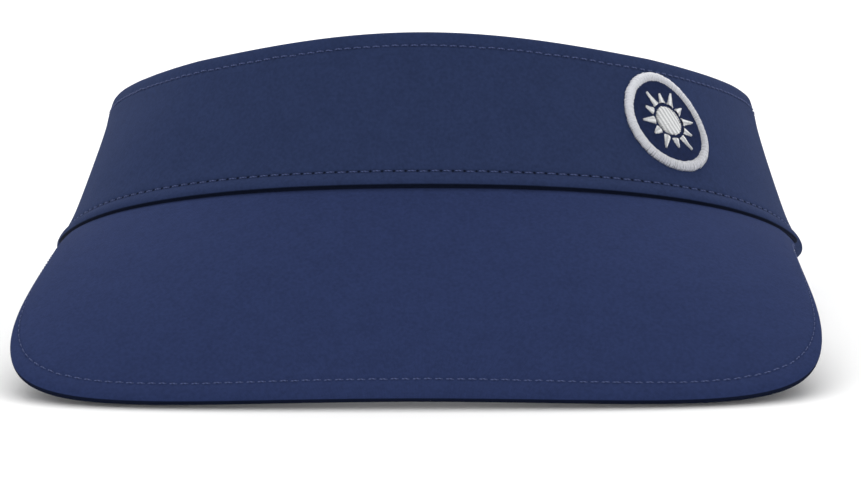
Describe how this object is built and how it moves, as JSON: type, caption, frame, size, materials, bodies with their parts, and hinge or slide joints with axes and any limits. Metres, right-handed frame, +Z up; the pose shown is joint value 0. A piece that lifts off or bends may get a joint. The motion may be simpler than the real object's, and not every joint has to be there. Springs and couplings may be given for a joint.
{
  "type": "sun visor",
  "caption": "Women's-style sun visor: wide curved brim, open crown band with round embroidered patch, padded sweatband, and a hook-and-loop strap closing behind the head.",
  "frame": {"origin": "on the table, at the centre of the band's oval outline", "axes": "+X towards the wearer's left, where the patch is; -Y towards the brim's front edge; +Z up"},
  "size_m": [0.2026, 0.2271, 0.0819],
  "materials": {
    "navy_cloth": "matte weave",
    "stiffener": "non-woven",
    "lining": "matte weave",
    "binding": "matte weave",
    "terry": "terry",
    "foam": "open-cell foam",
    "label": "woven satin",
    "board": "moulded",
    "navy_thread": "thread",
    "pale_thread": "thread",
    "white_thread": "thread",
    "patch_twill": "twill",
    "hook_pile": "hook tape",
    "loop_pile": "brushed loop"
  },
  "bodies": {
    "visor_body": {"crown_shell": "navy_cloth", "crown_stiffener": "stiffener", "crown_lining": "lining", "seam_tape": "binding", "sweatband": "terry", "sweatband_padding": "foam", "care_label": "label", "brim_board": "board", "brim_top_cover": "navy_cloth", "brim_under_cover": "navy_cloth", "crown_top_stitching": "navy_thread", "crown_base_stitching": "navy_thread", "brim_edge_stitching": "navy_thread", "sweatband_stitching": "white_thread", "patch_base": "patch_twill", "patch_border": "pale_thread", "patch_emblem": "white_thread", "left_strap_tack": "navy_thread", "right_strap_tack": "navy_thread"},
    "left_strap_body": {"left_strap": "navy_cloth", "left_strap_core": "stiffener", "left_strap_stitching": "navy_thread"},
    "hook_tab_body": {"hook_tab": "navy_cloth", "hook_tab_core": "stiffener", "hook_tape": "hook_pile", "hook_tab_stitching": "navy_thread"},
    "right_strap_body": {"right_strap": "navy_cloth", "right_strap_core": "stiffener", "right_strap_stitching": "navy_thread", "loop_tape": "loop_pile"}
  },
  "joints": [
    {"name": "left_strap_swing", "type": "hinge", "parent": "visor_body", "child": "left_strap_body", "pos_m": [0.07429, 0.05896, 0.013], "axis": [0, 0, -1], "range_deg": [0, 70]},
    {"name": "hook_tab_peel", "type": "hinge", "parent": "left_strap_body", "child": "hook_tab_body", "pos_m": [0.00627, 0.08573, 0.013], "axis": [0, 0, -1], "range_deg": [0, 90]},
    {"name": "right_strap_swing", "type": "hinge", "parent": "visor_body", "child": "right_strap_body", "pos_m": [-0.07054, 0.05447, 0.013], "axis": [0, 0, -1], "range_deg": [0, 25]}
  ]
}
